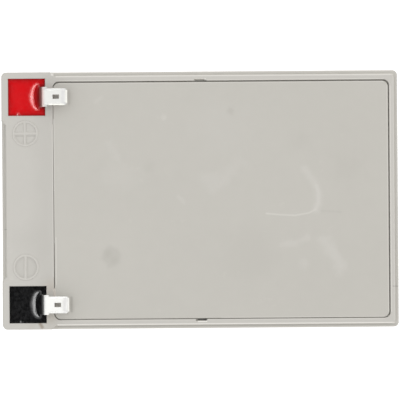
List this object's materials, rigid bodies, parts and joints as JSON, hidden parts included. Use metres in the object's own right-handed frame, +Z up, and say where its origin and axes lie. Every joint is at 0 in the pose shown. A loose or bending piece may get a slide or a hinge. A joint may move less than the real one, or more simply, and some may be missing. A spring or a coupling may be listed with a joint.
{
  "type": "sealed lead acid battery",
  "caption": "Grey sealed block battery with a flush vent cover and two bent push-on blade terminals set in red and black resin wells at one end.",
  "frame": {"origin": "middle of the underside of the container", "axes": "+X from the terminal end to the plain end, +Y towards the side of the positive terminal, +Z up"},
  "size_m": [0.151, 0.098, 0.1005],
  "materials": {
    "case": "grey moulded ABS, fine spark texture",
    "lid": "grey moulded ABS, smooth, slightly rubbed",
    "vent_cover": "grey moulded ABS, smooth, with faint scuffs",
    "rubber": "black valve rubber",
    "terminal": "tin-plated brass strip, satin",
    "lead": "cast lead, dull grey",
    "red_resin": "red epoxy, glossy as poured",
    "black_resin": "black epoxy, glossy as poured",
    "positive_plate": "dark brown pasted plate",
    "negative_plate": "grey pasted plate",
    "separator": "white glass mat"
  },
  "bodies": {
    "root": {"cell_link_1": "lead", "cell_link_2": "lead", "cell_link_3": "lead", "cell_link_4": "lead", "cell_link_5": "lead", "container": "case", "lid": "lid", "negative_plates_1": "negative_plate", "negative_plates_2": "negative_plate", "negative_plates_3": "negative_plate", "negative_plates_4": "negative_plate", "negative_plates_5": "negative_plate", "negative_plates_6": "negative_plate", "negative_post": "lead", "negative_resin": "black_resin", "negative_tab": "terminal", "positive_plates_1": "positive_plate", "positive_plates_2": "positive_plate", "positive_plates_3": "positive_plate", "positive_plates_4": "positive_plate", "positive_plates_5": "positive_plate", "positive_plates_6": "positive_plate", "positive_post": "lead", "positive_resin": "red_resin", "positive_tab": "terminal", "separators_1": "separator", "separators_2": "separator", "separators_3": "separator", "separators_4": "separator", "separators_5": "separator", "separators_6": "separator", "valve_cap_1": "rubber", "valve_cap_2": "rubber", "valve_cap_3": "rubber", "valve_cap_4": "rubber", "valve_cap_5": "rubber", "valve_cap_6": "rubber", "vent_cover": "vent_cover"}
  },
  "joints": []
}
